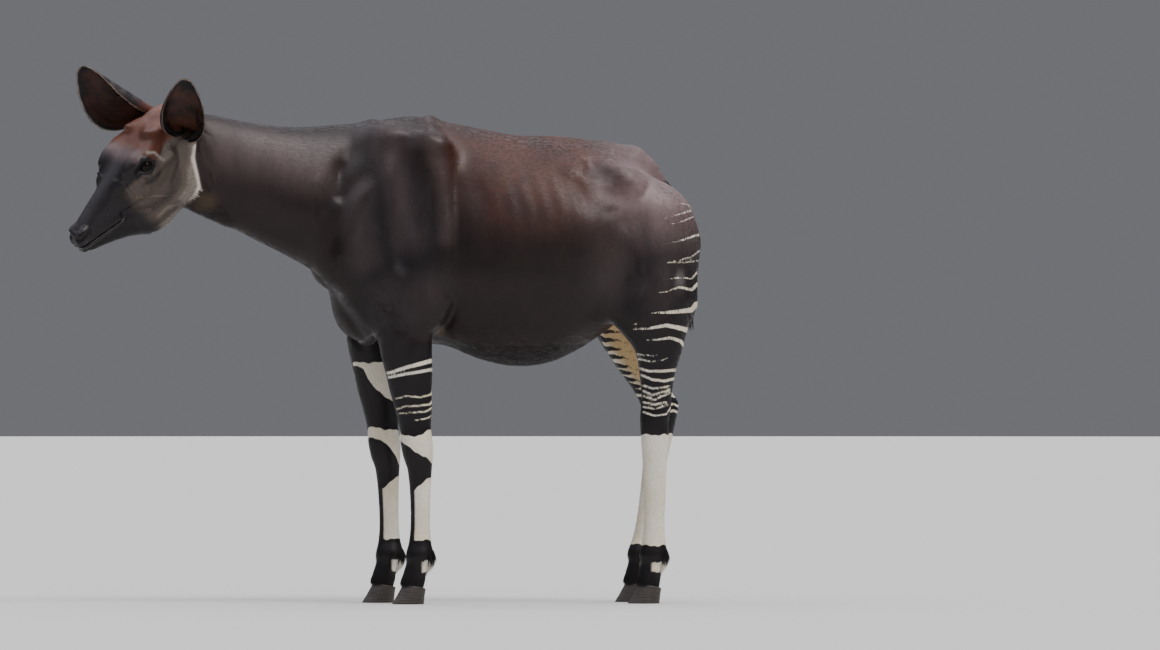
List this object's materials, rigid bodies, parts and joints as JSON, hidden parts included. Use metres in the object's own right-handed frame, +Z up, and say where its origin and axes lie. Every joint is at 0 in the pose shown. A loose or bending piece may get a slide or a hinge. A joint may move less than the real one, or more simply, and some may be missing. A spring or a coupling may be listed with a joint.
{
  "type": "okapi",
  "caption": "Standing okapi, a grown female with large cupped ears, head turned to one side, dark coat and banded legs.",
  "frame": {"origin": "on the floor under the middle of the whole animal", "axes": "+Z up; the animal faces -X and its left side faces -Y"},
  "size_m": [1.9646, 0.6846, 1.6391],
  "materials": {
    "body_coat": "short glossy dark brown hair",
    "face_coat": "short fine hair, grey cheeks and a dark muzzle",
    "leg_coat": "short hair in dark and cream bands",
    "ear_skin": "thin skin with short dark hair",
    "eye": "wet and dark",
    "hoof_horn": "dull dark horn"
  },
  "bodies": {
    "root": {"ear_left": "ear_skin", "ear_right": "ear_skin", "eye_left": "eye", "eye_right": "eye", "foreleg_lower_left": "leg_coat", "foreleg_lower_right": "leg_coat", "foreleg_upper_left": "leg_coat", "foreleg_upper_right": "leg_coat", "head": "face_coat", "hindleg_lower_left": "leg_coat", "hindleg_lower_right": "leg_coat", "hindleg_upper_left": "leg_coat", "hindleg_upper_right": "leg_coat", "hoof_fore_left_inner": "hoof_horn", "hoof_fore_left_outer": "hoof_horn", "hoof_fore_right_inner": "hoof_horn", "hoof_fore_right_outer": "hoof_horn", "hoof_hind_left_inner": "hoof_horn", "hoof_hind_left_outer": "hoof_horn", "hoof_hind_right_inner": "hoof_horn", "hoof_hind_right_outer": "hoof_horn", "neck": "body_coat", "tail": "body_coat", "torso": "body_coat"}
  },
  "joints": []
}
